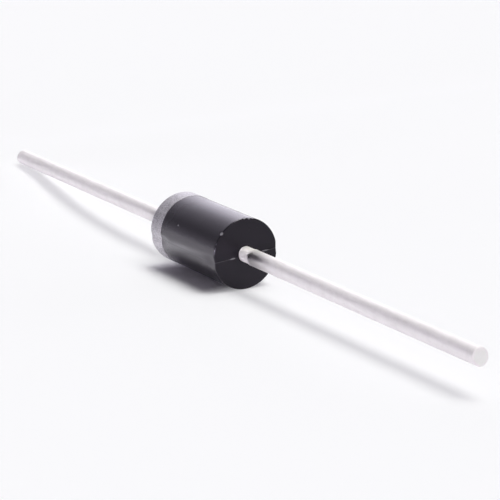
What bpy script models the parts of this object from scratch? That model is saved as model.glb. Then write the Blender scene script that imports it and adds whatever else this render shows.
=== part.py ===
"""Axial-lead rectifier diode: a moulded plastic body on two headed wire leads, with a printed cathode band.

Metres, +Z up. The origin is the middle of the body on the leads' axis. +X runs along the anode lead and
-X along the cathode lead. The diode lies on its side, as it comes to rest.
"""
import math

import bmesh
import bpy

MM = 0.001

# Moulded body
BODY_LENGTH = 9.4 * MM
BODY_DIAMETER = 5.3 * MM
END_DRAFT = math.radians(1.5)
RIM_RADIUS = 0.07 * MM
RIM_SEGMENTS = 3
HALF_FACETS = 37
RESTING_FACETS = 1

# Trimmed land along the parting line on both sides, and the line of flash across both ends
LAND_WIDTH = 0.9 * MM
LAND_DEPTH = 0.05 * MM
FLASH_WIDTH = 0.09 * MM
FLASH_HEIGHT = 0.03 * MM
FLASH_ROOT = 0.2 * MM

# Printed cathode band
BAND_WIDTH = 1.55 * MM
BAND_THICKNESS = 0.02 * MM

# Leads
LEAD_LENGTH = 27.8 * MM
WIRE_DIAMETER = 1.15 * MM
TIN_THICKNESS = 0.045 * MM
TIN_RAMP = 0.15 * MM
BARE_LENGTH = 1.0 * MM
TIP_CHAMFER = 0.06 * MM
HEAD_DIAMETER = 2.7 * MM
HEAD_THICKNESS = 0.7 * MM
HEAD_FILLET = 0.25 * MM
HEAD_EDGE = 0.08 * MM

# Junction
CHIP_SIDE = 2.1 * MM
CHIP_THICKNESS = 0.3 * MM
SOLDER_DIAMETER = 1.9 * MM
SOLDER_THICKNESS = 0.06 * MM
COATING_WALL = 0.3 * MM
COATING_LIP = 0.12 * MM
COATING_OVERLAP = 0.35 * MM

# Fit of one piece on another, and how far a cutter stands out of what it cuts
SEAT_GAP = 0.01 * MM
CUT_MARGIN = 1.0 * MM

# Fineness of the turned pieces
TURN_STEPS = 40
CURVE_STEPS = 8
MERGE_DISTANCE = 0.0005 * MM
RIM_ANGLE = math.radians(60.0)
SMOOTH_ANGLE = math.radians(28.0)

BODY_RADIUS = BODY_DIAMETER / 2
WIRE_RADIUS = WIRE_DIAMETER / 2
HEAD_RADIUS = HEAD_DIAMETER / 2
SOLDER_RADIUS = SOLDER_DIAMETER / 2
BODY_END = BODY_LENGTH / 2
TIP_STATION = BODY_END + LEAD_LENGTH
SOLDER_STATION = CHIP_THICKNESS / 2 + SEAT_GAP
HEAD_STATION = SOLDER_STATION + SOLDER_THICKNESS + SEAT_GAP
HEAD_BACK = HEAD_STATION + HEAD_THICKNESS
COATING_END = HEAD_STATION + COATING_OVERLAP
COATING_END_RADIUS = HEAD_RADIUS + SEAT_GAP + COATING_LIP
COATING_RADIUS = max(CHIP_SIDE / math.sqrt(2), HEAD_RADIUS) + COATING_WALL
LAND_ANGLE = math.asin(LAND_WIDTH / 2 / BODY_RADIUS)
FACET_ANGLE = (math.pi - 2 * LAND_ANGLE) / HALF_FACETS
RESTING_ROLL = RESTING_FACETS * FACET_ANGLE

ANODE = 1
CATHODE = -1


def clear_scene():
    """Remove everything that the opened file holds."""
    for existing in list(bpy.data.objects):
        bpy.data.objects.remove(existing, do_unlink=True)


def new_collection(name):
    collection = bpy.data.collections.new(name)
    bpy.context.scene.collection.children.link(collection)
    return collection


def new_material(name, color, roughness, metallic=0.0):
    material = bpy.data.materials.new(name)
    material.use_nodes = True
    shader = material.node_tree.nodes["Principled BSDF"]
    shader.inputs["Base Color"].default_value = (*color, 1.0)
    shader.inputs["Roughness"].default_value = roughness
    shader.inputs["Metallic"].default_value = metallic
    return material


def add_object(name, mesh, collection, carrier):
    """Put a mesh in the scene as a named object on the carrier."""
    piece = bpy.data.objects.new(name, mesh)
    piece.parent = carrier
    collection.objects.link(piece)
    return piece


def finish_part(piece, material):
    """Shade a part smooth on its round faces and give it its material."""
    piece.data.materials.append(material)
    piece.data.shade_smooth()
    piece.data.set_sharp_from_angle(angle=SMOOTH_ANGLE)
    return piece


def mark_cutter(cutter):
    cutter.hide_render = True
    cutter.display_type = "WIRE"
    return cutter


def mesh_from(name, form):
    """Write a bmesh to a new mesh."""
    mesh = bpy.data.meshes.new(name)
    form.to_mesh(mesh)
    form.free()
    return mesh


def add_boolean(piece, other, operation):
    cut = piece.modifiers.new(other.name, "BOOLEAN")
    cut.operation = operation
    cut.solver = "EXACT"
    cut.object = other


def add_mirror(piece, axis):
    """Mirror a half that is open at its plane, where axis is 0 for X and 2 for Z."""
    mirror = piece.modifiers.new("mirror", "MIRROR")
    mirror.use_axis = [axis == index for index in range(3)]
    mirror.merge_threshold = MERGE_DISTANCE


def turned(name, profile, collection, carrier, side=ANODE):
    """Turn a profile of (radius, station) points, given from its outer end inwards, about the leads' axis."""
    form = bmesh.new()
    points = [form.verts.new((radius, 0.0, station)) for radius, station in profile]
    for upper, lower in zip(points, points[1:]):
        form.edges.new((upper, lower))
    piece = add_object(name, mesh_from(name, form), collection, carrier)
    piece.rotation_euler.y = side * math.pi / 2
    screw = piece.modifiers.new("turn", "SCREW")
    screw.steps = TURN_STEPS
    screw.render_steps = TURN_STEPS
    screw.use_merge_vertices = True
    screw.merge_threshold = MERGE_DISTANCE
    return piece


def half_section(offset=0.0):
    """Outline (y, z) of the upper mould half: the foot of one land, the round from land to land, the other foot."""
    foot = BODY_RADIUS - LAND_DEPTH + offset
    radius = BODY_RADIUS + offset
    angles = [LAND_ANGLE + FACET_ANGLE * step for step in range(HALF_FACETS + 1)]
    arc = [(radius * math.cos(angle), radius * math.sin(angle)) for angle in angles]
    return [(foot, 0.0), *arc, (-foot, 0.0)]


def end_station(height):
    """Station of the drafted end face at a height above or below the parting plane."""
    return BODY_END - abs(height) * math.tan(END_DRAFT)


def insert_profile():
    """Pocket that the leads and the coated junction leave in the moulding, from the anode end to the cathode end."""
    bore = WIRE_RADIUS + SEAT_GAP
    pocket = HEAD_RADIUS + SEAT_GAP
    back = HEAD_BACK + SEAT_GAP
    half = [
        (0.0, BODY_END + CUT_MARGIN),
        (bore, BODY_END + CUT_MARGIN),
        (bore, back + HEAD_FILLET),
        (bore + HEAD_FILLET, back),
        (pocket, back),
        (pocket, COATING_END + SEAT_GAP),
    ]
    other_half = [(radius, -station) for radius, station in reversed(half)]
    return half + coating_outline(SEAT_GAP) + other_half


def coating_outline(offset=0.0):
    """Bulged outer face of the coating: a parabola from its end on one head, over the chip, to the other head."""
    end = COATING_END + offset
    stations = [end * (1 - 2 * step / CURVE_STEPS) for step in range(CURVE_STEPS + 1)]
    bulge = COATING_RADIUS - COATING_END_RADIUS
    return [(COATING_END_RADIUS + bulge * (1 - (station / end) ** 2) + offset, station) for station in stations]


def lead_profile():
    """Outline of a lead: cut tip, tinned wire, bare wire at the body, and the forged head inside."""
    tinned = WIRE_RADIUS + TIN_THICKNESS
    tin_start = BODY_END + BARE_LENGTH
    return [
        (0.0, TIP_STATION),
        (tinned - TIP_CHAMFER, TIP_STATION),
        (tinned, TIP_STATION - TIP_CHAMFER),
        *tin_edge(tinned, tin_start),
        (WIRE_RADIUS, HEAD_BACK + HEAD_FILLET),
        (WIRE_RADIUS + HEAD_FILLET, HEAD_BACK),
        (HEAD_RADIUS - HEAD_EDGE, HEAD_BACK),
        (HEAD_RADIUS, HEAD_BACK - HEAD_EDGE),
        (HEAD_RADIUS, HEAD_STATION + HEAD_EDGE),
        (HEAD_RADIUS - HEAD_EDGE, HEAD_STATION),
        (0.0, HEAD_STATION),
    ]


def tin_edge(tinned, tin_start):
    """Soft edge where the tin thins out to the bare wire: half a cosine wave over the ramp."""
    steps = [step / CURVE_STEPS for step in range(CURVE_STEPS + 1)]
    return [
        (WIRE_RADIUS + (tinned - WIRE_RADIUS) * (1 + math.cos(math.pi * step)) / 2, tin_start + TIN_RAMP * (1 - step))
        for step in steps
    ]


def make_flash_bar(collection, carrier):
    """Triangular bars across both ends on the parting plane, to be joined to the moulding."""
    half_length = BODY_RADIUS - LAND_DEPTH - RIM_RADIUS
    top = BODY_END + FLASH_HEIGHT
    root = BODY_END - FLASH_ROOT
    slope = (FLASH_HEIGHT + FLASH_ROOT) / FLASH_HEIGHT
    outline = [(top, 0.0), (root, slope * FLASH_WIDTH / 2), (root, -slope * FLASH_WIDTH / 2)]
    form = bmesh.new()
    face = form.faces.new([form.verts.new((station, -half_length, height)) for station, height in outline])
    swept = bmesh.ops.extrude_face_region(form, geom=[face])
    moved = [item for item in swept["geom"] if isinstance(item, bmesh.types.BMVert)]
    bmesh.ops.translate(form, verts=moved, vec=(0.0, 2 * half_length, 0.0))
    bmesh.ops.recalc_face_normals(form, faces=form.faces)
    bar = mark_cutter(add_object("flash_bar", mesh_from("flash_bar", form), collection, carrier))
    add_mirror(bar, 0)
    return bar


def make_insert_cutter(collection, carrier):
    return mark_cutter(turned("insert_cutter", insert_profile(), collection, carrier))


def make_body(parts, cutters, carrier):
    """Moulding: the upper half is swept end to end, its ends are drafted, and its mirror image is the lower half."""
    form = bmesh.new()
    face = form.faces.new([form.verts.new((-BODY_END, y, z)) for y, z in half_section()])
    swept = bmesh.ops.extrude_face_region(form, geom=[face])
    moved = [item for item in swept["geom"] if isinstance(item, bmesh.types.BMVert)]
    bmesh.ops.translate(form, verts=moved, vec=(BODY_LENGTH, 0.0, 0.0))
    for vertex in form.verts:
        vertex.co.x = math.copysign(end_station(vertex.co.z), vertex.co.x)
    parting = [side for side in form.faces if max(vertex.co.z for vertex in side.verts) < MERGE_DISTANCE]
    bmesh.ops.delete(form, geom=parting, context="FACES")
    bmesh.ops.recalc_face_normals(form, faces=form.faces)
    body = add_object("moulded_body", mesh_from("moulded_body", form), parts, carrier)
    add_mirror(body, 2)
    rim = body.modifiers.new("rim", "BEVEL")
    rim.width = RIM_RADIUS
    rim.segments = RIM_SEGMENTS
    rim.limit_method = "ANGLE"
    rim.angle_limit = RIM_ANGLE
    add_boolean(body, make_flash_bar(cutters, carrier), "UNION")
    add_boolean(body, make_insert_cutter(cutters, carrier), "DIFFERENCE")
    return finish_part(body, new_material("moulded_epoxy", (0.028, 0.026, 0.031), 0.45))


def make_band(parts, carrier):
    """Ink band: a strip of the moulding's skin from the rim inwards, mirrored and given its thickness outwards."""
    form = bmesh.new()
    inner_edge = -(BODY_END - BAND_WIDTH)
    rows = [
        (form.verts.new((RIM_RADIUS - end_station(z), y, z)), form.verts.new((inner_edge, y, z)))
        for y, z in half_section(SEAT_GAP)
    ]
    for (rim, inner), (next_rim, next_inner) in zip(rows, rows[1:]):
        form.faces.new((rim, next_rim, next_inner, inner))
    band = add_object("cathode_band", mesh_from("cathode_band", form), parts, carrier)
    add_mirror(band, 2)
    ink = band.modifiers.new("ink", "SOLIDIFY")
    ink.thickness = BAND_THICKNESS
    ink.offset = 1.0
    return finish_part(band, new_material("band_ink", (0.33, 0.32, 0.36), 0.5))


def make_leads(parts, carrier):
    """Both leads share one form and are turned end for end."""
    tinned_copper = new_material("tinned_copper", (0.80, 0.79, 0.80), 0.28, 1.0)
    for name, side in (("anode_lead", ANODE), ("cathode_lead", CATHODE)):
        finish_part(turned(name, lead_profile(), parts, carrier, side), tinned_copper)


def make_solder(parts, carrier):
    """Thin discs of solder between the chip and the two heads."""
    solder = new_material("solder", (0.62, 0.62, 0.65), 0.4, 1.0)
    disc = [
        (0.0, SOLDER_STATION + SOLDER_THICKNESS),
        (SOLDER_RADIUS, SOLDER_STATION + SOLDER_THICKNESS),
        (SOLDER_RADIUS, SOLDER_STATION),
        (0.0, SOLDER_STATION),
    ]
    for name, side in (("anode_solder", ANODE), ("cathode_solder", CATHODE)):
        finish_part(turned(name, disc, parts, carrier, side), solder)


def block(name, thickness, side, collection, carrier):
    """Square block across the leads' axis, centred on the junction."""
    form = bmesh.new()
    bmesh.ops.create_cube(form, size=1.0)
    bmesh.ops.scale(form, verts=form.verts, vec=(thickness, side, side))
    return add_object(name, mesh_from(name, form), collection, carrier)


def make_chip(parts, carrier):
    chip = block("junction_chip", CHIP_THICKNESS, CHIP_SIDE, parts, carrier)
    return finish_part(chip, new_material("silicon", (0.16, 0.17, 0.19), 0.2, 0.6))


def make_coating(parts, cutters, carrier):
    """Silicone bead over the chip's edge: a turned barrel with the heads, the solder and the chip cut out of it."""
    outline = coating_outline()
    barrel = [(0.0, COATING_END), *outline, (0.0, -COATING_END)]
    coating = turned("junction_coating", barrel, parts, carrier)
    half_stack = [
        (0.0, COATING_END + CUT_MARGIN),
        (HEAD_RADIUS + SEAT_GAP, COATING_END + CUT_MARGIN),
        (HEAD_RADIUS + SEAT_GAP, HEAD_STATION - SEAT_GAP),
        (SOLDER_RADIUS + SEAT_GAP, HEAD_STATION - SEAT_GAP),
    ]
    stack = half_stack + [(radius, -station) for radius, station in reversed(half_stack)]
    add_boolean(coating, mark_cutter(turned("stack_cutter", stack, cutters, carrier)), "DIFFERENCE")
    chip_room = block("chip_cutter", CHIP_THICKNESS + 2 * SEAT_GAP, CHIP_SIDE + 2 * SEAT_GAP, cutters, carrier)
    add_boolean(coating, mark_cutter(chip_room), "DIFFERENCE")
    return finish_part(coating, new_material("silicone", (0.82, 0.82, 0.80), 0.55))


def build():
    clear_scene()
    parts = new_collection("axial_diode")
    cutters = new_collection("cutters")
    carrier = bpy.data.objects.new("resting_roll", None)
    carrier.rotation_euler.x = RESTING_ROLL
    parts.objects.link(carrier)
    make_body(parts, cutters, carrier)
    make_band(parts, carrier)
    make_leads(parts, carrier)
    make_chip(parts, carrier)
    make_solder(parts, carrier)
    make_coating(parts, cutters, carrier)


build()
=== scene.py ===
"""Axial-lead rectifier diode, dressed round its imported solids.

Metres, +Z up. The origin is the middle of the body on the leads' axis. +X runs along the anode lead and -X
along the cathode lead, at whose end the body has its printed band. Every new piece is a closed surface
worked out with numpy as a function of the turn about the leads' axis and the way along a profile.
"""
import logging
import math
from dataclasses import dataclass
from enum import Enum
from typing import Any, ClassVar, Mapping, Optional, Sequence, Union

import bpy
import numpy as np
from mathutils import Matrix, Vector


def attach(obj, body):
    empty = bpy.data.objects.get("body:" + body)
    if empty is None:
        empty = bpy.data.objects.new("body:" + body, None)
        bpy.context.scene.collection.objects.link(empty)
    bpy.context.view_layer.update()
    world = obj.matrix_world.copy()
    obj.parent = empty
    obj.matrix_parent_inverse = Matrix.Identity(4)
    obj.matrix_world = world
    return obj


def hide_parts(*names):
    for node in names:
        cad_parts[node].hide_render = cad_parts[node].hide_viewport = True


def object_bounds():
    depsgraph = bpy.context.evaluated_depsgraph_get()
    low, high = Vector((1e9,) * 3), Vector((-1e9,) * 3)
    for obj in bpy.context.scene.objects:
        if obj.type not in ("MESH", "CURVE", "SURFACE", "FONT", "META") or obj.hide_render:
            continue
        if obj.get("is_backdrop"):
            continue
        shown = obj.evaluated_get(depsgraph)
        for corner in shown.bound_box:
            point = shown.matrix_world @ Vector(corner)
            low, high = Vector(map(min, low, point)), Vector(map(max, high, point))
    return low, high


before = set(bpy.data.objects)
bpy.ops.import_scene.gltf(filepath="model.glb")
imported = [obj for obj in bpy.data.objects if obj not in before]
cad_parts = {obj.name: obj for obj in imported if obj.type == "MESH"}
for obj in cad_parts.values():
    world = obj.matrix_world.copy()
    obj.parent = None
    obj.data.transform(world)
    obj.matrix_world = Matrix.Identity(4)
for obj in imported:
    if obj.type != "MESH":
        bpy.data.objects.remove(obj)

LOG = logging.getLogger("axial_diode")
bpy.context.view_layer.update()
BODY = "root"
SCUFF = "scuff"
FLAT = "flat"

MM = 0.001
QUARTER_TURN = math.pi / 2.0
FULL_TURN = 2.0 * math.pi
SHARP_ANGLE = math.radians(42.0)

Color = tuple[float, float, float]
Place = tuple[float, float, float]
Span = tuple[float, float]
Wave = tuple[float, int, float]
Key = Union[str, int]
Settings = Mapping[str, Any]
Inputs = Mapping[Key, Any]
Value = Union["Signal", float]

MIX_FIRST, MIX_SECOND, MIX_RESULT = 6, 7, 2

WHITE: Color = (1.0, 1.0, 1.0)
PALE_VIOLET: Color = (0.985, 0.955, 1.04)
WARM_WHITE: Color = (1.0, 1.025, 0.955)


class End(Enum):
    """The two ends of the diode, as the sign of their stations on X."""

    ANODE = 1
    CATHODE = -1


class Slot(Enum):
    """Material slots of the record."""

    EPOXY = "moulded_epoxy"
    INK = "band_ink"
    TIN = "tinned_copper"
    SILICON = "silicon"
    SOLDER = "solder"
    SILICONE = "silicone"


# Surfaces worked out with numpy


def smooth_step(value: np.ndarray, low: float, high: float) -> np.ndarray:
    """Ease from 0 at low to 1 at high: three times the square of the share less twice its cube."""
    share = np.clip((value - low) / (high - low), 0.0, 1.0)
    return share * share * (3.0 - 2.0 * share)


def hump(value: np.ndarray, centre: float, width: float) -> np.ndarray:
    """Bell curve of height 1: e to the minus square of the distance from centre over width."""
    return np.exp(-(((value - centre) / width) ** 2))


def humps(value: np.ndarray, places: Sequence[Span]) -> np.ndarray:
    """Sum of bell curves, each given by its centre and its width."""
    return sum(hump(value, centre, width) for centre, width in places)


def ripple(along: np.ndarray, turn: np.ndarray, waves: Sequence[Wave]) -> np.ndarray:
    """Uneven surface from -1 to 1: the mean of sines of the way along, the turn and a phase.

    Args:
        along: Distances along the axis, in metres.
        turn: Angles about the axis.
        waves: Cycles per metre, cycles per turn and phase of each wave.

    Returns:
        One height for each point.
    """
    total = sum(np.sin(FULL_TURN * cycles * along + count * turn + phase) for cycles, count, phase in waves)
    return total / len(waves)


def rings(values: np.ndarray, turn: np.ndarray) -> np.ndarray:
    """Repeat each value at every angle, which makes it a ring."""
    return np.repeat(values[:, None], len(turn), axis=1)


def spin_grid(station: np.ndarray, radius: np.ndarray, turn: np.ndarray) -> np.ndarray:
    """Place a grid about the X axis: y is the radius times the turn's cosine and z times its sine."""
    return np.stack(np.broadcast_arrays(station, radius * np.cos(turn), radius * np.sin(turn)), axis=-1)


def rolled(grid: np.ndarray, roll: float) -> np.ndarray:
    """Turn points about the X axis: y and z are weighted by the cosine and the sine of the roll.

    Args:
        grid: Points, with their coordinates last.
        roll: Angle from +Y towards +Z.

    Returns:
        The turned points.
    """
    station, across, height = np.moveaxis(grid, -1, 0)
    turned_across = across * math.cos(roll) - height * math.sin(roll)
    turned_height = across * math.sin(roll) + height * math.cos(roll)
    return np.stack([station, turned_across, turned_height], axis=-1)


def put_in_scene(name: str, data: bpy.types.ID) -> bpy.types.Object:
    """Make an object of a mesh, a light or a camera.

    Args:
        name: Name of the object.
        data: What it shows.

    Returns:
        The object, at the origin.
    """
    made = bpy.data.objects.new(name, data)
    bpy.context.scene.collection.objects.link(made)
    return made


def closed_object(name: str, grid: np.ndarray, poles: Optional[np.ndarray] = None) -> bpy.types.Object:
    """Make a watertight object from rings of points about the X axis.

    Each ring joins the next one by quads. The last ring joins the first, or where poles are given each outer
    ring is closed by a fan to its pole. The sum over triangles of the triple product of their corners is six
    times the volume, and where it is negative the faces are turned round.

    Args:
        name: Name of the object and its mesh.
        grid: Points as rings, points of a ring and coordinates.
        poles: The two points on the axis that close the first and the last ring.

    Returns:
        The object, at the origin.
    """
    ring_count, around = grid.shape[:2]
    index = np.arange(ring_count * around).reshape(ring_count, around)
    here = index if poles is None else index[:-1]
    there = np.roll(index, -1, axis=0) if poles is None else index[1:]
    after_here, after_there = np.roll(here, -1, axis=1), np.roll(there, -1, axis=1)
    quads = np.stack([here, there, after_there, after_here], axis=-1).reshape(-1, 4)
    points = grid.reshape(-1, 3)
    fans = np.empty((0, 3), int)
    if poles is not None:
        pole = np.full(around, len(points))
        opening = np.stack([pole, index[0], np.roll(index[0], -1)], axis=-1)
        closing = np.stack([pole + 1, np.roll(index[-1], -1), index[-1]], axis=-1)
        fans = np.concatenate([opening, closing])
        points = np.concatenate([points, poles])
    triangles = np.concatenate([quads[:, [0, 1, 2]], quads[:, [0, 2, 3]], fans])
    first, second, third = (points[corner] for corner in triangles.T)
    if (first * np.cross(second, third)).sum() < 0.0:
        quads, fans = quads[:, ::-1], fans[:, ::-1]
    mesh = bpy.data.meshes.new(name)
    mesh.from_pydata(points.tolist(), [], quads.tolist() + fans.tolist())
    mesh.validate()
    mesh.shade_smooth()
    mesh.set_sharp_from_angle(angle=SHARP_ANGLE)
    return put_in_scene(name, mesh)


def write_attribute(piece: bpy.types.Object, name: str, values: np.ndarray) -> None:
    """Store one number for each point of a piece for its material to read.

    Args:
        piece: The piece.
        name: Name of the attribute.
        values: One number for each point of the piece's grid.
    """
    attribute = piece.data.attributes.new(name, "FLOAT", "POINT")
    attribute.data.foreach_set("value", values.ravel().astype(np.float32))


# Shader nodes as expressions


@dataclass(frozen=True)
class Signal:
    """One output of a node tree, which takes part in Python arithmetic by adding Math nodes."""

    graph: "Graph"
    socket: bpy.types.NodeSocket

    def __add__(self, other: Value) -> "Signal":
        """Sum."""
        return self.graph.math("ADD", self, other)

    __radd__ = __add__

    def __mul__(self, other: Value) -> "Signal":
        """Product."""
        return self.graph.math("MULTIPLY", self, other)

    __rmul__ = __mul__

    def __sub__(self, other: Value) -> "Signal":
        """Difference."""
        return self.graph.math("SUBTRACT", self, other)

    def __rsub__(self, other: Value) -> "Signal":
        """Difference from a number."""
        return self.graph.math("SUBTRACT", other, self)

    def __truediv__(self, other: Value) -> "Signal":
        """Quotient."""
        return self.graph.math("DIVIDE", self, other)

    def __pow__(self, exponent: Value) -> "Signal":
        """Power."""
        return self.graph.math("POWER", self, exponent)

    def __abs__(self) -> "Signal":
        """Size without sign."""
        return self.graph.math("ABSOLUTE", self)

    def rise(self, low: float, high: float) -> "Signal":
        """Ease from 0 at low to 1 at high, clamped outside them.

        Args:
            low: Where the share is 0.
            high: Where it is 1, on either side of low.

        Returns:
            The share.
        """
        settings = {"interpolation_type": "SMOOTHSTEP"}
        inputs = {"Value": self, "From Min": low, "From Max": high}
        return self.graph.output("ShaderNodeMapRange", settings, inputs, "Result")


@dataclass
class Graph:
    """Node tree of a material or of the world, from which every node is made by one method."""

    tree: bpy.types.NodeTree

    def node(self, kind: str, settings: Settings, inputs: Inputs) -> bpy.types.Node:
        """Add a node.

        Args:
            kind: Node type, such as ShaderNodeBump.
            settings: Properties, set first.
            inputs: A value or a Signal for each named or numbered socket.

        Returns:
            The node.
        """
        made = self.tree.nodes.new(kind)
        for name, value in settings.items():
            setattr(made, name, value)
        for key, value in inputs.items():
            if isinstance(value, Signal):
                self.tree.links.new(value.socket, made.inputs[key])
            else:
                made.inputs[key].default_value = value
        return made

    def output(self, kind: str, settings: Settings, inputs: Inputs, socket: Key = 0) -> Signal:
        """Add a node and return one of its outputs."""
        return Signal(self, self.node(kind, settings, inputs).outputs[socket])

    def math(self, operation: str, *values: Value) -> Signal:
        """Add a Math node."""
        return self.output("ShaderNodeMath", {"operation": operation}, dict(enumerate(values)))

    def measure(self, operation: str, first: Signal, second: Union[Place, Vector]) -> Signal:
        """Add a Vector Math node that gives a number, such as a distance or a dot product."""
        return self.output("ShaderNodeVectorMath", {"operation": operation}, {0: first, 1: second}, "Value")

    def constant(self, value: float) -> Signal:
        """A plain number.

        Args:
            value: The number.

        Returns:
            A signal of it.
        """
        number = self.output("ShaderNodeValue", {}, {})
        number.socket.default_value = value
        return number

    def place(self) -> Signal:
        """Object coordinates, in metres."""
        return self.output("ShaderNodeTexCoord", {}, {}, "Object")

    def axes(self, vector: Signal) -> tuple[Signal, Signal, Signal]:
        """Split a vector into its three numbers."""
        split = self.node("ShaderNodeSeparateXYZ", {}, {0: vector})
        return tuple(Signal(self, socket) for socket in split.outputs)

    def attribute(self, name: str) -> Signal:
        """A number stored at each point of the mesh."""
        return self.output("ShaderNodeAttribute", {"attribute_name": name}, {}, "Fac")

    def ray(self, kind: str) -> Signal:
        """1 for rays of one kind, such as Camera or Glossy, and 0 for others."""
        return self.output("ShaderNodeLightPath", {}, {}, f"Is {kind} Ray")

    def blend(self, share: Value, first: Union[Color, Signal], second: Union[Color, Signal]) -> Signal:
        """Mix two colours.

        Args:
            share: Share of the second colour, from 0 to 1.
            first: Colour at 0.
            second: Colour at 1.

        Returns:
            The mixed colour.
        """
        settings = {"data_type": "RGBA", "clamp_factor": True}
        inputs = {0: share}
        for key, value in ((MIX_FIRST, first), (MIX_SECOND, second)):
            inputs[key] = value if isinstance(value, Signal) else (*value, 1.0)
        return self.output("ShaderNodeMix", settings, inputs, MIX_RESULT)

    def mix(self, share: Signal, first: Signal, second: Signal) -> Signal:
        """Mix two shaders by the share of the second."""
        return self.output("ShaderNodeMixShader", {}, {0: share, 1: first, 2: second})

    def bump(self, height: Signal, depth: float, strength: float) -> Signal:
        """Normal of a surface with this height, where depth in metres is that of a height of 1."""
        return self.output("ShaderNodeBump", {}, {"Height": height, "Distance": depth, "Strength": strength})


@dataclass(frozen=True)
class Noise:
    """A cloudy pattern: its cycles per metre, finer layers and their strength, and the stretch of each axis."""

    scale: float
    detail: float = 2.0
    roughness: float = 0.5
    stretch: Optional[Place] = None

    def on(self, graph: Graph) -> Signal:
        """Lay the pattern on Object coordinates.

        Args:
            graph: Node tree of the material.

        Returns:
            The pattern, from 0 to 1.
        """
        place = graph.place()
        if self.stretch is not None:
            place = graph.output("ShaderNodeMapping", {}, {"Vector": place, "Scale": self.stretch})
        inputs = {"Vector": place, "Scale": self.scale, "Detail": self.detail, "Roughness": self.roughness}
        return graph.output("ShaderNodeTexNoise", {}, inputs)


@dataclass(frozen=True)
class Cells:
    """A pattern of rounded cells: its cells per metre."""

    scale: float

    def on(self, graph: Graph) -> Signal:
        """Distance to the nearest cell centre, on Object coordinates."""
        inputs = {"Vector": graph.place(), "Scale": self.scale}
        return graph.output("ShaderNodeTexVoronoi", {}, inputs, "Distance")


def shaded(color: Color, gain: float) -> Color:
    """Multiply each part of a colour."""
    return tuple(gain * part for part in color)


# Finishes


class Finish:
    """A surface finish: a material whose colour, roughness and relief come from nodes."""

    slot: ClassVar[Slot]

    def dress(self, graph: Graph) -> dict[Key, Any]:
        """Build the nodes and return the values and links of the shader's sockets."""
        raise NotImplementedError

    def surface(self, graph: Graph) -> Signal:
        """Build the shader."""
        return graph.output("ShaderNodeBsdfPrincipled", {}, self.dress(graph))

    def put_on(self, piece: bpy.types.Object) -> None:
        """Give a piece this finish as its only material and name its slot of the record.

        Args:
            piece: The piece.
        """
        made = bpy.data.materials.new(self.slot.value)
        made.use_nodes = True
        made.node_tree.nodes.clear()
        graph = Graph(made.node_tree)
        graph.node("ShaderNodeOutputMaterial", {}, {"Surface": self.surface(graph)})
        piece.data.materials.clear()
        piece.data.materials.append(made)


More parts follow.
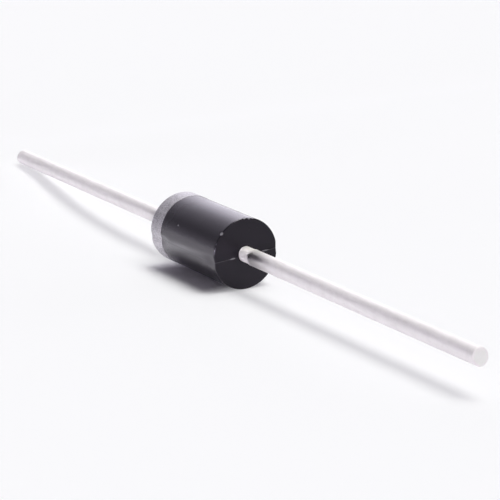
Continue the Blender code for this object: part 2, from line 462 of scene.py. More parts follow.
@dataclass(frozen=True)
class EpoxyFinish(Finish):
    """Black moulding compound: satin round the barrel, duller on the ends, pale where it is broken.

    The barrel and the face are each given by their refractive index and roughness. The mark is a pale scrape
    on the barrel.
    """

    slot: ClassVar[Slot] = Slot.EPOXY
    color: Color = (0.0072, 0.0060, 0.0090)
    shades: Span = (0.8, 1.2)
    pale: Color = (0.26, 0.25, 0.27)
    tint: Color = (0.93, 0.86, 1.0)
    barrel: Span = (1.80, 0.21)
    face: Span = (1.38, 0.31)
    smear: Noise = Noise(700.0, stretch=(0.5, 1.0, 1.0))
    smear_roughness: float = 0.10
    smear_height: float = 3.5
    grain: Noise = Noise(22000.0, roughness=0.6)
    grain_height: float = 0.4
    orange_peel: Noise = Noise(5200.0)
    orange_peel_height: float = 0.5
    relief: float = 0.006 * MM
    relief_strength: float = 0.6
    filler: Cells = Cells(6500.0)
    filler_size: Span = (0.12, 0.04)
    filler_patches: Noise = Noise(1500.0)
    filler_bare: Span = (0.55, 0.66)
    filler_pale: float = 0.3
    crumbs: Noise = Noise(14000.0)
    crumb_least: float = 0.55
    crumb_gain: float = 0.9
    crumb_edge: Span = (0.12, 0.9)
    broken_pale: float = 0.85
    broken_roughness: float = 0.2
    mark: Place = (-0.98 * MM, -2.361 * MM, 1.203 * MM)
    mark_edge: Span = (0.022 * MM, 0.11 * MM)
    mark_pale: float = 0.5
    dusted_run: Span = (-3.2 * MM, 0.8 * MM)
    dusted_roughness: float = 0.07

    def dress(self, graph: Graph) -> dict[Key, Any]:
        """Cloud the black, lighten the broken places, the filler and the mark, and grain the surface.

        The barrel is a little duller towards the band.

        Args:
            graph: Node tree of the material.

        Returns:
            The values and links of the shader's sockets, with what adds to the roughness of barrel and face.
        """
        place = graph.place()
        along, _, _ = graph.axes(place)
        patterns = (self.smear, self.grain, self.orange_peel)
        smear, grain, orange_peel = (pattern.on(graph) for pattern in patterns)
        filler = self.filler.on(graph).rise(*self.filler_size)
        bare = self.filler_patches.on(graph).rise(*self.filler_bare)
        crumbs = self.crumb_least + self.crumb_gain * self.crumbs.on(graph)
        broken = (graph.attribute(SCUFF) * crumbs).rise(*self.crumb_edge)
        off_mark = graph.measure("DISTANCE", place, self.mark).rise(*self.mark_edge)
        mark = self.mark_pale - self.mark_pale * off_mark
        dusted = 1.0 - along.rise(*self.dusted_run)
        darker, lighter = (shaded(self.color, gain) for gain in self.shades)
        black = graph.blend(0.5 * grain + 0.5 * smear, darker, lighter)
        lightened = broken * self.broken_pale + filler * bare * self.filler_pale + mark
        dulled = broken * self.broken_roughness + dusted * self.dusted_roughness
        height = orange_peel * self.orange_peel_height + grain * self.grain_height + smear * self.smear_height
        return {
            "Base Color": graph.blend(lightened, black, self.pale),
            "Specular Tint": (*self.tint, 1.0),
            "Roughness": (smear - 0.5) * self.smear_roughness + dulled,
            "Normal": graph.bump(height, self.relief, self.relief_strength),
        }

    def surface(self, graph: Graph) -> Signal:
        """Mix the shader of the barrel and the shader of the end faces by the stored share of the flat.

        Args:
            graph: Node tree of the material.

        Returns:
            The mixed shader.
        """
        shared = self.dress(graph)
        shaders = []
        for index, roughness in (self.barrel, self.face):
            own = {"IOR": index, "Roughness": shared["Roughness"] + roughness}
            shaders.append(graph.output("ShaderNodeBsdfPrincipled", {}, {**shared, **own}))
        return graph.mix(graph.attribute(FLAT), *shaders)


@dataclass(frozen=True)
class InkFinish(Finish):
    """Silver-grey printing ink with a fine metallic grain, thinner and darker in patches."""

    slot: ClassVar[Slot] = Slot.INK
    color: Color = (0.575, 0.549, 0.592)
    dark: Color = (0.285, 0.270, 0.298)
    flakes: Noise = Noise(11000.0, roughness=0.8)
    flake_share: float = 0.78
    flake_height: float = 0.6
    patches: Noise = Noise(2600.0, detail=3.0)
    patch_share: float = 0.22
    patch_height: float = 0.4
    cover: Span = (0.39, 0.61)
    metal: float = 0.45
    least_roughness: float = 0.28
    patch_roughness: float = 0.16
    relief: float = 0.012 * MM
    relief_strength: float = 0.7

    def dress(self, graph: Graph) -> dict[Key, Any]:
        """Mottle the ink by two noises and give its flakes a part of metal.

        Args:
            graph: Node tree of the material.

        Returns:
            The values and links of the shader's sockets.
        """
        flakes, patches = self.flakes.on(graph), self.patches.on(graph)
        covered = (self.flake_share * flakes + self.patch_share * patches).rise(*self.cover)
        height = flakes * self.flake_height + patches * self.patch_height
        return {
            "Base Color": graph.blend(covered, self.dark, self.color),
            "Metallic": self.metal,
            "Roughness": self.least_roughness + self.patch_roughness * patches,
            "Normal": graph.bump(height, self.relief, self.relief_strength),
        }


@dataclass(frozen=True)
class LeadFinish(Finish):
    """Tinned copper wire: satin tin, brighter on its first run and darkened on that run's low side by painted
    shade, a matte pale root and a core in the cut end.

    The stations count outwards from the middle of the body. A strip along the wire is given by the cosine
    and the sine of its angle from the top towards -Y, and by the cosines of the angle off it where it starts
    and is full.
    """

    tin_start: float
    tip_station: float
    core_radius: float
    slot: ClassVar[Slot] = Slot.TIN
    tin: Color = (0.93, 0.89, 0.90)
    tarnish: Color = (0.87, 0.83, 0.84)
    root: Color = (0.99, 0.94, 0.94)
    core: Color = (0.91, 0.90, 0.89)
    # Colour of the painted shade on the low side of the first run.
    painted_underside_shade: Color = (0.42, 0.40, 0.40)
    edge_wander: Noise = Noise(1200.0, stretch=(0.2, 1.0, 1.0))
    edge_reach: float = 0.7 * MM
    edge_width: float = 0.42 * MM
    bright_run: Span = (1.2 * MM, 3.6 * MM)
    top_strip: tuple[float, float, Span] = (1.0, 0.0, (0.6, 0.92))
    side_strip: tuple[float, float, Span] = (0.47, 0.883, (0.75, 0.98))
    low_strip: tuple[float, float, Span] = (-0.64, 0.768, (0.6, 0.95))
    painted_shade_share: float = 0.45
    cut_depth: Span = (0.16 * MM, 0.10 * MM)
    core_edge: float = 0.72
    core_share: float = 0.8
    streaks: Noise = Noise(30000.0, stretch=(0.03, 1.0, 1.0))
    streak_share: float = 0.3
    streak_height: float = 0.22
    cloud: Noise = Noise(1300.0, detail=3.0)
    cloud_share: float = 0.7
    cloud_height: float = 0.5
    cloud_roughness: float = 0.2
    tarnished: Span = (0.42, 0.72)
    pits: Cells = Cells(8500.0)
    pit_size: Span = (0.28, 0.08)
    pit_patches: Noise = Noise(2300.0)
    pitted: Span = (0.5, 0.68)
    pit_height: float = 0.9
    pit_roughness: float = 0.2
    dimples: Cells = Cells(7000.0)
    dimple_height: float = 1.5
    relief: float = 0.012 * MM
    relief_strength: float = 0.6
    tin_metal: float = 0.40
    bright_metal: float = 0.50
    top_metal: float = 0.36
    side_metal: float = 0.1
    root_roughness: float = 0.6
    tin_polish: float = 0.12
    side_polish: float = 0.18
    cut_roughness: float = 0.15

    def strip(self, graph: Graph, up: float, aside: float, reach: Span) -> Signal:
        """Share of a strip along the wire, eased by the cosine of the angle off its middle.

        Args:
            graph: Node tree of the material.
            up: Cosine of the strip's angle from the top.
            aside: Sine of it, towards -Y.
            reach: Cosines of the angle off the strip where its share is 0 and where it is 1.

        Returns:
            The share.
        """
        _, across, high = graph.axes(graph.place())
        radius = (across * across + high * high) ** 0.5
        return ((high * up - across * aside) / radius).rise(*reach)

    def dress(self, graph: Graph) -> dict[Key, Any]:
        """Choose root, tin or core by station and radius, streak the tin, shine its first run and darken that
        run's low side with painted shade.

        Args:
            graph: Node tree of the material.

        Returns:
            The values and links of the shader's sockets.
        """
        along, across, high = graph.axes(graph.place())
        station = abs(along)
        radius = (across * across + high * high) ** 0.5
        wander = (self.edge_wander.on(graph) - 0.5) * self.edge_reach
        tinned = (station + wander).rise(self.tin_start, self.tin_start + self.edge_width)
        run = tinned * (1.0 - station.rise(*(self.tin_start + reach for reach in self.bright_run)))
        strips = (self.top_strip, self.side_strip, self.low_strip)
        top, side, low = (self.strip(graph, *strip) for strip in strips)
        cut = station.rise(*(self.tip_station - depth for depth in self.cut_depth))
        core = cut * (1.0 - radius.rise(self.core_radius * self.core_edge, self.core_radius))
        streaks, cloud, dimples = (pattern.on(graph) for pattern in (self.streaks, self.cloud, self.dimples))
        pits = self.pits.on(graph).rise(*self.pit_size) * self.pit_patches.on(graph).rise(*self.pitted)
        tarnished = (cloud * self.cloud_share + streaks * self.streak_share).rise(*self.tarnished)
        tin = graph.blend(tarnished, self.tin, self.tarnish)
        color = graph.blend(core * self.core_share, graph.blend(tinned, self.root, tin), self.core)
        tin_height = streaks * self.streak_height - pits * self.pit_height + cloud * self.cloud_height
        height = (1.0 - tinned) * dimples * self.dimple_height + tinned * tin_height
        bright_metal = self.bright_metal - top * self.top_metal + side * self.side_metal
        polish = tinned * (self.tin_polish - (cloud - 0.5) * self.cloud_roughness)
        roughness = self.root_roughness - polish - run * side * self.side_polish
        return {
            # Painted shade: the low side of the first run is darkened as though it mirrored the black face and
            # the shadow under the wire.
            "Base Color": graph.blend(run * low * self.painted_shade_share, color, self.painted_underside_shade),
            "Metallic": tinned * self.tin_metal + run * bright_metal,
            "Roughness": roughness + pits * self.pit_roughness + cut * self.cut_roughness,
            "Normal": graph.bump(height, self.relief, self.relief_strength),
        }


@dataclass(frozen=True)
class HiddenFinish(Finish):
    """Finish of a piece inside the moulding: one pattern, in two colours, that also lifts the skin.

    The relief is the pattern's depth and its strength.
    """

    pattern: Union[Noise, Cells]
    colors: tuple[Color, Color]
    metal: float
    smooth: float
    relief: Span
    pattern_roughness: float = 0.2

    def dress(self, graph: Graph) -> dict[Key, Any]:
        """Let the pattern choose the colour, add to the roughness and lift the surface.

        Args:
            graph: Node tree of the material.

        Returns:
            The values and links of the shader's sockets.
        """
        pattern = self.pattern.on(graph)
        return {
            "Base Color": graph.blend(pattern, *self.colors),
            "Metallic": self.metal,
            "Roughness": self.smooth + self.pattern_roughness * pattern,
            "Normal": graph.bump(pattern, *self.relief),
        }


@dataclass(frozen=True)
class SiliconFinish(HiddenFinish):
    """Sawn and etched silicon: a dark metal streaked across the saw's way."""

    slot: ClassVar[Slot] = Slot.SILICON
    pattern: Noise = Noise(40000.0, detail=1.0, stretch=(1.0, 0.05, 1.0))
    colors: tuple[Color, Color] = ((0.13, 0.14, 0.16), (0.20, 0.21, 0.23))
    metal: float = 0.6
    smooth: float = 0.16
    relief: Span = (0.003 * MM, 0.4)


@dataclass(frozen=True)
class SolderFinish(HiddenFinish):
    """Solder as it froze: dull metal in coarse grains."""

    slot: ClassVar[Slot] = Slot.SOLDER
    pattern: Cells = Cells(6000.0)
    colors: tuple[Color, Color] = ((0.55, 0.55, 0.58), (0.68, 0.68, 0.70))
    metal: float = 1.0
    smooth: float = 0.34
    relief: Span = (0.01 * MM, 0.4)


@dataclass(frozen=True)
class SiliconeFinish(HiddenFinish):
    """White junction coating: soft, slightly translucent and uneven."""

    slot: ClassVar[Slot] = Slot.SILICONE
    pattern: Noise = Noise(2400.0, detail=3.0)
    colors: tuple[Color, Color] = ((0.76, 0.76, 0.73), (0.85, 0.85, 0.83))
    metal: float = 0.0
    smooth: float = 0.45
    relief: Span = (0.02 * MM, 0.5)
    depth_share: float = 0.2
    depth: float = 0.3 * MM

    def dress(self, graph: Graph) -> dict[Key, Any]:
        """Cloud the white a little, ripple the skin and let light a little way in."""
        return {**super().dress(graph), "Subsurface Weight": self.depth_share, "Subsurface Scale": self.depth}


# Pieces of the diode


def seat(piece: bpy.types.Object, node: str, finish: Finish) -> bpy.types.Object:
    """Dress a new piece, let it ride on the one body and let it stand for its solid.

    Args:
        piece: The new piece.
        node: Name of the solid that it replaces.
        finish: Its finish.

    Returns:
        The piece.
    """
    finish.put_on(piece)
    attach(piece, BODY)
    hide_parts(node)
    return piece


@dataclass(frozen=True)
class Mould:
    """Form of the moulding that its skin and its printed band share.

    The trimmed land down both sides is full near the ends and runs out along the barrel. Each of its runs
    goes from the station where there is none of it to the station where it is full.
    """

    length: float = 9.4 * MM
    radius: float = 2.65 * MM
    draft: float = math.radians(1.5)
    land_width: float = 0.9 * MM
    land_depth: float = 0.08 * MM
    cathode_land: Span = (-1.6 * MM, -3.1 * MM)
    anode_land: Span = (3.2 * MM, 4.5 * MM)
    soften: float = 0.012 * MM
    roll: float = math.radians(5.1)
    parting_drop: float = 0.1 * MM
    seam_height: float = 0.008 * MM
    seam_width: float = 0.03 * MM
    fine_columns: int = 41
    coarse_columns: int = 112
    fine_angle: float = math.radians(7.0)

    @property
    def end(self) -> float:
        """Station of the end faces at the parting plane."""
        return self.length / 2.0

    def turns(self) -> np.ndarray:
        """Angles round the axis from the parting plane, close together where the parting line crosses.

        Returns:
            The angles, once round.
        """
        fine = np.linspace(-self.fine_angle, self.fine_angle, self.fine_columns)
        coarse = np.linspace(self.fine_angle, math.pi - self.fine_angle, self.coarse_columns + 2)[1:-1]
        half = np.concatenate([fine, coarse])
        return np.concatenate([half, half + math.pi])

    def land_share(self, station: np.ndarray) -> np.ndarray:
        """How much of the land there is, from 1 near both ends to 0 between them."""
        return smooth_step(station, *self.cathode_land) + smooth_step(station, *self.anode_land)

    def section(self, turn: np.ndarray, land: Union[float, np.ndarray] = 1.0) -> np.ndarray:
        """Radius of the barrel at each angle from the parting plane.

        The round is the full radius. The trimmed land on both sides is a shallow V of two straight lines,
        each of which in polar form is its distance over the cosine less its slope times the sine. The
        smaller of both is taken with a soft corner, and the seam is a thin bell curve on the parting plane.

        Args:
            turn: Angles round the axis.
            land: Share of the land's depth that is taken off.

        Returns:
            The radius at each angle.
        """
        across = np.cos(turn)
        tilt = math.asin(self.parting_drop / self.radius)
        away = np.abs(np.arcsin(np.sin(turn + tilt * np.sign(across))))
        half_width = self.land_width / 2.0
        reach = math.asin(half_width / self.radius)
        foot = self.radius - self.land_depth
        slope = (self.radius * math.cos(reach) - foot) / half_width
        chord = foot / (np.cos(away) - slope * np.sin(away))
        cut = self.soften * np.logaddexp(0.0, (self.radius - chord) / self.soften)
        radius = self.radius - land * np.where(away < 2.0 * reach, cut, 0.0)
        return radius + self.seam_height * hump(radius * away, 0.0, self.seam_width)

    def face(self, height: np.ndarray) -> np.ndarray:
        """Station of the end face: the end less the height off the parting plane times the draft's tangent."""
        return self.end - np.abs(height + self.parting_drop) * math.tan(self.draft)


@dataclass(frozen=True)
class Nick:
    """A small break in the rim of the anode end: its angle in degrees, width, depth and how pale it is."""

    angle: float
    width: float
    depth: float
    scuff: float


@dataclass
class MouldedBody:
    """Black epoxy moulding, with the pocket that the headed leads and the coated junction leave in it.

    The flash across the end faces is thicker and paler at its lumps, each given by its place across and its
    width.
    """

    mould: Mould = Mould()
    rim: float = 0.07 * MM
    bore: float = 0.585 * MM
    lip: float = 0.03 * MM
    flash_height: float = 0.035 * MM
    flash_width: float = 0.05 * MM
    flash_least: float = 0.45
    flash_gain: float = 0.55
    flash_lumps: tuple[Span, ...] = ((1.6 * MM, 0.3 * MM), (-1.1 * MM, 0.22 * MM))
    flash_end: float = 0.9
    face_edge: Span = (0.1 * MM, 0.06 * MM)
    pale_least: float = 0.36
    pale_start: Span = (0.85 * MM, 1.1 * MM)
    pale_gain: float = 1.25
    pale_lumps: tuple[Span, ...] = ((1.6 * MM, 0.22 * MM), (-1.08 * MM, 0.17 * MM))
    skin_ripple: float = 0.003 * MM
    skin_waves: tuple[Wave, ...] = ((170.0, 2, 0.4), (90.0, 3, 1.9), (260.0, 5, 2.6), (60.0, 0, 0.9))
    head_radius: float = 1.36 * MM
    head_fillet: float = 0.25 * MM
    head_back: float = 0.95 * MM
    coating_end: float = 0.60 * MM
    coating_end_radius: float = 1.49 * MM
    coating_radius: float = 1.795 * MM
    face_rows: int = 30
    rim_rows: int = 7
    barrel_rows: int = 60
    pocket_rows: int = 16
    nicks: tuple[Nick, ...] = (
        Nick(86.5, 0.17 * MM, 0.05 * MM, 0.9),
        Nick(78.0, 0.20 * MM, 0.05 * MM, 1.0),
        Nick(71.0, 0.15 * MM, 0.04 * MM, 0.8),
        Nick(133.0, 0.24 * MM, 0.045 * MM, 1.3),
        Nick(152.5, 0.10 * MM, 0.03 * MM, 0.5),
    )

    def flash_line(self, height: np.ndarray) -> np.ndarray:
        """Bell curve of the height off the parting plane."""
        return hump(height, -self.mould.parting_drop, self.flash_width)

    def end_rows(self, turn: np.ndarray) -> tuple[np.ndarray, np.ndarray]:
        """Form of one end, from the bore out over the face and round the rim.

        The face runs straight outwards, with the flash standing on it along the flash line. Its lip round
        the bore and its rim are quarter circles.

        Args:
            turn: Angles round the axis.

        Returns:
            Stations and radii.
        """
        outer = self.mould.section(turn) - self.rim
        inner = self.bore + self.lip
        bend = np.linspace(0.0, QUARTER_TURN, self.rim_rows)[:, None]
        share = np.linspace(0.0, 1.0, self.face_rows)[:, None]
        radius = inner + (outer - inner) * share
        height, across = radius * np.sin(turn), radius * np.cos(turn)
        thick = self.flash_least + self.flash_gain * humps(across, self.flash_lumps)
        flash = self.flash_height * thick * smooth_step(share, 1.0, self.flash_end) * self.flash_line(height)
        station = self.mould.face(height) + flash
        lip_station = station[:1] - self.lip * (1.0 - np.sin(bend))
        lip_radius = self.bore + self.lip * (1.0 - np.cos(bend)) + np.zeros_like(turn)
        rim_station = station[-1:] - self.rim * (1.0 - np.cos(bend))
        rim_radius = outer + self.rim * np.sin(bend)
        stations = np.concatenate([lip_station[:-1], station, rim_station[1:]])
        radii = np.concatenate([lip_radius[:-1], radius, rim_radius[1:]])
        return stations, radii

    def barrel(self, end_station: np.ndarray, turn: np.ndarray) -> tuple[np.ndarray, np.ndarray]:
        """Form of the barrel between both rims: the mould's section less a faint ripple of the skin.

        Args:
            end_station: Station of the anode end's rim at each angle.
            turn: Angles round the axis.

        Returns:
            Stations and radii.
        """
        share = np.linspace(0.0, 1.0, self.barrel_rows + 2)[1:-1, None]
        station = end_station * (1.0 - 2.0 * share)
        skin = self.skin_ripple * (1.0 + ripple(station, turn, self.skin_waves))
        return station, self.mould.section(turn, self.mould.land_share(station)) - skin

    def pocket_profile(self) -> tuple[np.ndarray, np.ndarray]:
        """Form of the pocket from the anode end to the cathode end: bore, head room and coating room.

        The coating room bulges by a parabola of the station.

        Returns:
            Stations and radii.
        """
        bulge = np.linspace(self.coating_end, -self.coating_end, self.pocket_rows)
        rise = self.coating_radius - self.coating_end_radius
        bulge_radius = self.coating_end_radius + rise * (1.0 - (bulge / self.coating_end) ** 2)
        back, fillet = self.head_back, self.head_fillet
        station = np.array([back + fillet, back, back, self.coating_end])
        radius = np.array([self.bore, self.bore + fillet, self.head_radius, self.head_radius])
        stations = np.concatenate([station, bulge, -station[::-1]])
        return stations, np.concatenate([radius, bulge_radius, radius[::-1]])

    def nicked(self, grid: np.ndarray) -> tuple[np.ndarray, np.ndarray]:
        """Push the rim inwards at each nick by a bell curve of the distance from it.

        Args:
            grid: Points of the moulding.

        Returns:
            The points, and how far the surface is broken at each.
        """
        forward = np.array([1.0, 0.0, 0.0])
        broken = np.zeros(grid.shape[:2])
        for nick in self.nicks:
            angle = math.radians(nick.angle)
            outward = np.array([0.0, math.cos(angle), math.sin(angle)])
            centre = outward * self.mould.radius + forward * (self.mould.end - self.rim / 2.0)
            centre[0] -= abs(centre[2]) * math.tan(self.mould.draft)
            share = np.exp(-((grid - centre) ** 2).sum(axis=-1) / (nick.width / 2.0) ** 2)
            share *= grid[..., 0] > 0.0
            grid = grid - share[..., None] * (outward + forward) / math.sqrt(2.0) * nick.depth
            broken = np.maximum(broken, share * nick.scuff)
        return grid, broken

    def pale_flash(self, grid: np.ndarray) -> np.ndarray:
        """How pale the flash is: a share away from the bore and bell curves at its lumps, on the faces alone.

        Args:
            grid: Points of the moulding before it is rolled.

        Returns:
            The share of the pale colour at each point.
        """
        station, across, height = np.moveaxis(grid, -1, 0)
        on_face = smooth_step(np.abs(station), *(self.mould.end - depth for depth in self.face_edge))
        line = self.pale_least * smooth_step(np.abs(across), *self.pale_start)
        pale = line + self.pale_gain * humps(across, self.pale_lumps)
        return on_face * self.flash_line(height) * pale

    def flatness(self, ring_count: int) -> np.ndarray:
        """Share of the end faces' duller finish: 1 on a face, down to 0 round its rim, and 0 elsewhere.

        Args:
            ring_count: Number of rings of the moulding.

        Returns:
            One share for each ring.
        """
        on_face = np.ones(self.face_rows + self.rim_rows - 1)
        end = np.concatenate([on_face, np.linspace(1.0, 0.0, self.rim_rows)[1:]])
        flat = np.zeros(ring_count)
        flat[: len(end)] = end
        far_end = len(end) + self.barrel_rows
        flat[far_end : far_end + len(end)] = end[::-1]
        return flat

    def build(self) -> bpy.types.Object:
        """Make the moulding as one closed surface, over its outside and back through its pocket.

        Returns:
            The piece.
        """
        turn = self.mould.turns()
        end_station, end_radius = self.end_rows(turn)
        barrel_station, barrel_radius = self.barrel(end_station[-1:], turn)
        pocket_station, pocket_radius = (rings(values, turn) for values in self.pocket_profile())
        station = np.concatenate([end_station, barrel_station, -end_station[::-1], -pocket_station])
        radius = np.concatenate([end_radius, barrel_radius, end_radius[::-1], pocket_radius])
        grid, broken = self.nicked(spin_grid(station, radius, turn))
        piece = closed_object("body_moulding", rolled(grid, self.mould.roll))
        write_attribute(piece, SCUFF, np.maximum(broken, self.pale_flash(grid)))
        write_attribute(piece, FLAT, rings(self.flatness(len(grid)), turn))
        return seat(piece, "moulded_body", EpoxyFinish())


@dataclass
class CathodeBand:
    """Ring of printed ink at the cathode end, with a slightly uneven inner edge."""

    mould: Mould = Mould()
    rim: float = 0.07 * MM
    rim_share: float = 0.8
    width: float = 1.55 * MM
    lift: float = 0.022 * MM
    sink: float = 0.01 * MM
    edge: float = 0.03 * MM
    wander: float = 0.012 * MM
    wander_waves: tuple[Wave, ...] = ((0.0, 7, 0.3), (0.0, 12, 2.2), (0.0, 19, 4.0), (0.0, 31, 1.0))
    rows: int = 26
    edge_rows: int = 6

    def ink_height(self, share: np.ndarray) -> np.ndarray:
        """Height of the ink over the moulding: a quarter circle up from its foot, then level.

        Args:
            share: Distance from the ink's edge over the width of the soft edge.

        Returns:
            The height.
        """
        rise = np.sqrt(1.0 - (1.0 - np.clip(share, 0.0, 1.0)) ** 2)
        return (self.lift + self.sink) * rise - self.sink

    def build(self) -> bpy.types.Object:
        """Make the ring as one closed surface: ink over the moulding, its two soft edges, and its underside.

        Returns:
            The piece.
        """
        turn = self.mould.turns()
        section = self.mould.section(turn)
        outer_end = -self.mould.face(section * np.sin(turn)) + self.rim * self.rim_share
        inner_end = self.width - self.mould.end
        inner_end = inner_end + self.wander * ripple(np.zeros_like(turn), turn, self.wander_waves)
        share = np.linspace(0.0, 1.0, self.rows)[1:-1, None]
        middle = outer_end + (inner_end - outer_end) * share
        from_edge = np.minimum(middle - outer_end, inner_end - middle)
        soft = np.linspace(0.0, 1.0, self.edge_rows)[1:-1, None] ** 2
        near, far = outer_end + self.edge * soft, inner_end - self.edge * soft
        top = section + self.ink_height(from_edge / self.edge)
        shoulder = section + self.ink_height(soft)
        foot, under = section - self.sink, section - 2.0 * self.sink
        station = np.concatenate([[outer_end], near, middle, far[::-1], [inner_end], [inner_end], [outer_end]])
        radius = np.concatenate([[foot], shoulder, top, shoulder[::-1], [foot], [under], [under]])
        piece = closed_object("band_print", rolled(spin_grid(station, radius, turn), self.mould.roll))
        return seat(piece, "cathode_band", InkFinish())


@dataclass
class WireLead:
    """Tinned copper lead with its forged head, its bare root at the body and its sheared end."""

    end: End
    name: str
    node: str
    body_end: float = 4.7 * MM
    length: float = 27.8 * MM
    wire_radius: float = 0.575 * MM
    tin: float = 0.045 * MM
    tin_ramp: float = 0.15 * MM
    tin_ripple: float = 0.007 * MM
    tin_waves: tuple[Wave, ...] = ((110.0, 1, 0.3), (230.0, 0, 1.7), (390.0, 2, 2.9), (67.0, 1, 5.1))
    tin_runs: Span = (0.5 * MM, 0.4 * MM)
    bare: float = 1.0 * MM
    root_place: Span = (0.45 * MM, 0.5 * MM)
    root_dimple: float = 0.004 * MM
    root_waves: tuple[Wave, ...] = ((2600.0, 9, 0.2), (1900.0, -13, 1.1), (3300.0, 5, 2.3), (1500.0, 17, 4.4))
    chamfer: float = 0.06 * MM
    head_station: float = 0.23 * MM
    head_thickness: float = 0.7 * MM
    head_radius: float = 1.35 * MM
    head_fillet: float = 0.25 * MM
    head_edge: float = 0.08 * MM
    shear: float = math.radians(6.0)
    shear_run: float = 1.2 * MM
    shear_step: float = 0.012 * MM
    shear_step_width: float = 0.08 * MM
    shear_step_power: int = 8
    columns: int = 96
    wire_rows: int = 190
    bend_rows: int = 7
    ramp_rows: int = 11
    root_rows: int = 26
    cut_rows: int = 9
    first_cut_row: float = 0.1

    @property
    def tip(self) -> float:
        """Station of the cut end."""
        return self.body_end + self.length

    @property
    def tin_start(self) -> float:
        """Station where the tin starts."""
        return self.body_end + self.bare

    @property
    def own_waves(self) -> list[Wave]:
        """Waves of this lead's tin, of which the first starts elsewhere on each lead."""
        (cycles, count, phase), *others = self.tin_waves
        return [(cycles, count, phase * self.end.value), *others]

    def profile(self) -> tuple[np.ndarray, np.ndarray]:
        """Form of the lead from the cut end to the face of the head, with quarter circles at rounded edges.

        The tin thins out to the bare wire by half a cosine wave, and the wire widens into its head by a
        quarter circle.

        Returns:
            Stations and radii.
        """
        tip, wire, edge, fillet = self.tip, self.wire_radius, self.head_edge, self.head_fillet
        tinned = wire + self.tin
        tin_full = self.tin_start + self.tin_ramp
        back = self.head_station + self.head_thickness
        bend = np.linspace(0.0, QUARTER_TURN, self.bend_rows)
        growing, shrinking = 1.0 - np.cos(bend), 1.0 - np.sin(bend)
        cut = np.linspace(self.first_cut_row, 1.0, self.cut_rows) * (tinned - self.chamfer)
        run = np.linspace(tip - self.chamfer, tin_full, self.wire_rows)[1:-1]
        ramp = np.linspace(1.0, 0.0, self.ramp_rows)
        root = np.linspace(self.tin_start, self.body_end - self.bare, self.root_rows)[1:]
        parts = [
            (np.full_like(cut, tip), cut),
            (tip - self.chamfer * growing[1:], tinned - self.chamfer * shrinking[1:]),
            (run, np.full_like(run, tinned)),
            (self.tin_start + self.tin_ramp * ramp, wire + self.tin * (1.0 - np.cos(math.pi * ramp)) / 2.0),
            (root, np.full_like(root, wire)),
            (back + fillet * shrinking, wire + fillet * growing),
            (back - edge * growing, self.head_radius - edge * shrinking),
            (self.head_station + edge * shrinking, self.head_radius - edge * growing),
        ]
        return np.concatenate([part[0] for part in parts]), np.concatenate([part[1] for part in parts])

    def build(self) -> bpy.types.Object:
        """Make the lead as one closed surface with a pole in the cut end and one in the face of the head.

        Dipped tin leaves the wire a few hundredths uneven and the root is finely dimpled. The cutter leaves
        the end leaning and with a low step: near the tip each point is drawn back in proportion to its
        height above the wire's underside, and by a hyperbolic tangent of its height.

        Returns:
            The piece.
        """
        turn = np.linspace(0.0, FULL_TURN, self.columns, endpoint=False)
        station, radius = (rings(values, turn) for values in self.profile())
        root_middle, root_width = self.root_place
        tin_full, tin_edge = self.tin_runs
        tinned = smooth_step(station, self.tin_start, self.tin_start + tin_full)
        tinned *= smooth_step(station, self.tip, self.tip - tin_edge)
        root = hump(station, self.body_end + root_middle, root_width)
        uneven = self.tin_ripple * tinned * (1.0 + ripple(station, turn, self.own_waves))
        dimples = self.root_dimple * root * ripple(station, turn, self.root_waves)
        grid = spin_grid(station, radius - uneven + dimples, turn)
        height = grid[..., 2]
        near_tip = smooth_step(station, self.tip - self.shear_run, self.tip)
        lean = math.tan(self.shear)
        underside = self.wire_radius + self.tin
        leaning = near_tip * lean * (height + underside)
        stepped = 1.0 + np.tanh(height / self.shear_step_width)
        leaning += near_tip ** self.shear_step_power * self.shear_step * stepped
        side = float(self.end.value)
        grid[..., 0] = side * (grid[..., 0] - leaning)
        tip_pole = side * (self.tip - lean * underside - self.shear_step)
        poles = np.array([[tip_pole, 0.0, 0.0], [side * self.head_station, 0.0, 0.0]])
        piece = closed_object(self.name, grid, poles)
        finish = LeadFinish(self.tin_start + self.tin_ramp / 2.0, self.tip, self.wire_radius)
        return seat(piece, self.node, finish)


@dataclass
class Junction:
    """What the moulding hides: the chip, its two solder discs and the coating, in their solids' own shapes."""

    finishes: tuple[tuple[str, Finish], ...] = (
        ("junction_chip", SiliconFinish()),
        ("anode_solder", SolderFinish()),
        ("cathode_solder", SolderFinish()),
        ("junction_coating", SiliconeFinish()),
    )

    def build(self) -> list[bpy.types.Object]:
        """Give each solid its finish.

        Returns:
            The solids.
        """
        for node, finish in self.finishes:
            finish.put_on(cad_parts[node])
        return [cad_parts[node] for node, _ in self.finishes]


# Studio


def sky_direction(azimuth: float, elevation: float) -> Vector:
    """Unit vector towards a place in the sky.

    Args:
        azimuth: Angle from +X towards +Y, in degrees.
        elevation: Angle above the floor, in degrees.

    Returns:
        The vector.
    """
    turn, climb = math.radians(azimuth), math.radians(elevation)
    level = math.cos(climb)
    return Vector((level * math.cos(turn), level * math.sin(turn), math.sin(climb)))


@dataclass(frozen=True)
class SoftBox:
    """A soft light far away: its place in the sky, its width in degrees, its strength and its colour."""

    name: str
    azimuth: float
    elevation: float
    spread: float
    strength: float
    color: Color = WHITE

    def hang(self) -> None:
        """Add the light."""
        lamp = bpy.data.lights.new(self.name, "SUN")
        lamp.energy = self.strength
        lamp.angle = math.radians(self.spread)
        lamp.color = self.color
        hung = put_in_scene(self.name, lamp)
        hung.rotation_euler = sky_direction(self.azimuth, self.elevation).to_track_quat("Z", "Y").to_euler()


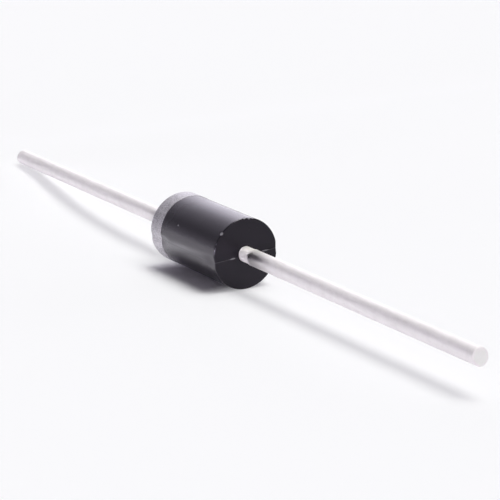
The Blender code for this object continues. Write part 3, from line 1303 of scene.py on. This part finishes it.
@dataclass(frozen=True)
class Glow:
    """A smooth glow in the surround, which fades off its centre and, where it has a top, upwards."""

    azimuth: float
    elevation: float
    power: float
    strength: float
    top: Optional[float] = None

    def light(self, graph: Graph) -> Signal:
        """Half the sum of one and the cosine of the angle off the centre, raised to a power, below the top.

        Args:
            graph: Node tree of the world.

        Returns:
            The strength of the light.
        """
        sky = graph.output("ShaderNodeTexCoord", {}, {}, "Generated")
        cosine = graph.measure("DOT_PRODUCT", sky, sky_direction(self.azimuth, self.elevation))
        lobe = (0.5 + 0.5 * cosine) ** self.power * self.strength
        return lobe if self.top is None else lobe * (1.0 - graph.axes(sky)[2].rise(0.0, self.top))


@dataclass
class Studio:
    """Plain pale floor, a large soft light overhead, and low soft cards round the diode.

    Away from the moulding the paper is seen part white, which keeps the leads' shadows light. In reflections
    alone it has a bright place at the near left, which gives the low side of the barrel its shine.
    """

    floor_size: float = 4.0
    swell_height: float = 2.12 * MM
    swell_place: float = -35.0 * MM
    swell_width: float = 12.0 * MM
    swell_widths: float = 4.0
    swell_columns: int = 161
    floor_color: Color = (0.58, 0.569, 0.602)
    floor_gain: float = 1.703
    white: Color = (0.953, 0.953, 0.971)
    lift: float = 0.55
    lift_reach: float = 3.0 * MM
    dim_centre: float = -0.1 * MM
    dim_half: Span = (2.8 * MM, 2.3 * MM)
    bright_place: Span = (-6.9 * MM, -5.7 * MM)
    bright_reach: float = 4.2 * MM
    bright_gain: float = 2.7
    dome: float = 0.03
    tint: Color = (0.975, 0.945, 1.04)
    lights: tuple[SoftBox, ...] = (
        SoftBox("overhead_anode", 43.0, 66.0, 30.0, 1.18, WARM_WHITE),
        SoftBox("overhead_cathode", 111.0, 71.6, 30.0, 1.18, WARM_WHITE),
        SoftBox("right", 20.0, 48.0, 50.0, 0.28),
        SoftBox("behind", 92.0, 9.0, 32.0, 0.5, PALE_VIOLET),
    )
    glows: tuple[Glow, ...] = (
        Glow(151.0, 22.0, 25.0, 1.5),
        Glow(143.0, 10.0, 20.0, 0.65),
        Glow(192.0, 36.0, 20.0, 0.33),
        Glow(150.0, 2.0, 20.0, 1.4, 0.12),
        Glow(305.0, 0.0, 8.0, 42.0, 0.08),
        Glow(215.0, 2.0, 110.0, 0.55),
    )

    def floor_mesh(self) -> bpy.types.Mesh:
        """Make the paper just under the diode's lowest point, with its long swell below the cathode lead.

        Its height is that of the lowest point plus a bell curve of the station.

        Returns:
            The mesh.
        """
        half = self.floor_size / 2.0
        steps = np.linspace(-self.swell_widths, self.swell_widths, self.swell_columns)
        station = np.concatenate([[-half], steps * self.swell_width + self.swell_place, [half]])
        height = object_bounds()[0][2] + self.swell_height * hump(station, self.swell_place, self.swell_width)
        edges = [np.stack([station, np.full_like(station, side), height], axis=-1) for side in (-half, half)]
        index = np.arange(len(station) - 1)
        across = len(station)
        faces = np.stack([index, index + 1, index + 1 + across, index + across], axis=-1)
        mesh = bpy.data.meshes.new("floor")
        mesh.from_pydata(np.concatenate(edges).tolist(), [], faces.tolist())
        mesh.shade_smooth()
        return mesh

    def paper_shares(self, graph: Graph) -> tuple[Signal, Signal]:
        """Shares of white and of brightness by place.

        The share of white eases in with the distance from a rectangle under the moulding, and the brightness
        fades out with the distance from its own place.

        Args:
            graph: Node tree of the paper.

        Returns:
            The share of white and the share of brightness.
        """
        along, across, _ = graph.axes(graph.place())
        beyond = graph.math("MAXIMUM", abs(along - self.dim_centre) - self.dim_half[0], 0.0)
        beside = graph.math("MAXIMUM", abs(across) - self.dim_half[1], 0.0)
        away = (beyond * beyond + beside * beside) ** 0.5
        off = ((along - self.bright_place[0]) ** 2.0 + (across - self.bright_place[1]) ** 2.0) ** 0.5
        return away.rise(0.0, self.lift_reach), 1.0 - off.rise(0.0, self.bright_reach)

    def paper(self) -> bpy.types.Material:
        """Make the paper's material: a dull colour that scatters light, and the white with which it is seen.

        Returns:
            The material.
        """
        made = bpy.data.materials.new("floor_paper")
        made.use_nodes = True
        made.node_tree.nodes.clear()
        graph = Graph(made.node_tree)
        camera, glossy, through = (graph.ray(kind) for kind in ("Camera", "Glossy", "Transmission"))
        seen = (camera + glossy + through).rise(0.0, 1.0)
        lifted, bright = self.paper_shares(graph)
        color = graph.blend(seen, self.floor_color, shaded(self.floor_color, self.floor_gain))
        dull = graph.output("ShaderNodeBsdfDiffuse", {}, {"Color": color})
        glare = graph.blend(bright * glossy, self.white, shaded(self.white, self.bright_gain))
        white = graph.output("ShaderNodeEmission", {}, {"Color": glare})
        surface = graph.mix(seen * lifted * self.lift, dull, white)
        graph.node("ShaderNodeOutputMaterial", {}, {"Surface": surface})
        return made

    def add_surround(self) -> None:
        """Light the surround by its glows over a faint dome, and show it white to the camera."""
        world = bpy.data.worlds.new("surround")
        world.use_nodes = True
        world.node_tree.nodes.clear()
        graph = Graph(world.node_tree)
        strength = sum((glow.light(graph) for glow in self.glows), start=graph.constant(self.dome))
        light = graph.output("ShaderNodeBackground", {}, {"Color": (*self.tint, 1.0), "Strength": strength})
        white = graph.output("ShaderNodeBackground", {}, {"Color": (*self.white, 1.0)})
        graph.node("ShaderNodeOutputWorld", {}, {"Surface": graph.mix(graph.ray("Camera"), light, white)})
        bpy.context.scene.world = world

    def build(self) -> None:
        """Set up the floor, the lights and the plain view."""
        floor = put_in_scene("floor", self.floor_mesh())
        floor.data.materials.append(self.paper())
        floor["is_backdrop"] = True
        for light in self.lights:
            light.hang()
        self.add_surround()
        bpy.context.scene.view_settings.view_transform = "Standard"


@dataclass
class Viewpoint:
    """Camera at the photograph's viewing angle, given by where it looks from and by what its axis misses.

    The azimuth is the angle from -Y towards +X.
    """

    azimuth: float = math.radians(58.673)
    elevation: float = math.radians(15.296)
    distance: float = 155.157 * MM
    aim_right: float = 2.754 * MM
    aim_up: float = -0.766 * MM
    focal_pixels: float = 2100.0
    picture_pixels: float = 500.0
    sensor: float = 36.0
    clip: Span = (5.0 * MM, 20.0)

    def build(self) -> None:
        """Place the camera: back is from the object to the camera, and right is level."""
        level = math.cos(self.elevation)
        east, south = math.sin(self.azimuth), math.cos(self.azimuth)
        back = Vector((east * level, -south * level, math.sin(self.elevation)))
        right = Vector((south, east, 0.0))
        up = back.cross(right)
        place = right * self.aim_right + up * self.aim_up + back * self.distance
        lens = bpy.data.cameras.new("camera")
        lens.sensor_width = self.sensor
        lens.lens = self.sensor * self.focal_pixels / self.picture_pixels
        lens.clip_start, lens.clip_end = self.clip
        camera = put_in_scene("camera", lens)
        camera.matrix_world = Matrix.Translation(place) @ Matrix((right, up, back)).transposed().to_4x4()
        bpy.context.scene.camera = camera


def main() -> None:
    """Build the diode and then its studio."""
    logging.basicConfig(level=logging.INFO, format="%(message)s")
    pieces = [
        MouldedBody().build(),
        CathodeBand().build(),
        WireLead(End.ANODE, "anode_wire", "anode_lead").build(),
        WireLead(End.CATHODE, "cathode_wire", "cathode_lead").build(),
        *Junction().build(),
    ]
    for piece in pieces:
        LOG.info("%s: %d faces of %s", piece.name, len(piece.data.polygons), piece.data.materials[0].name)
    Viewpoint().build()
    Studio().build()


if __name__ == "__main__":
    main()
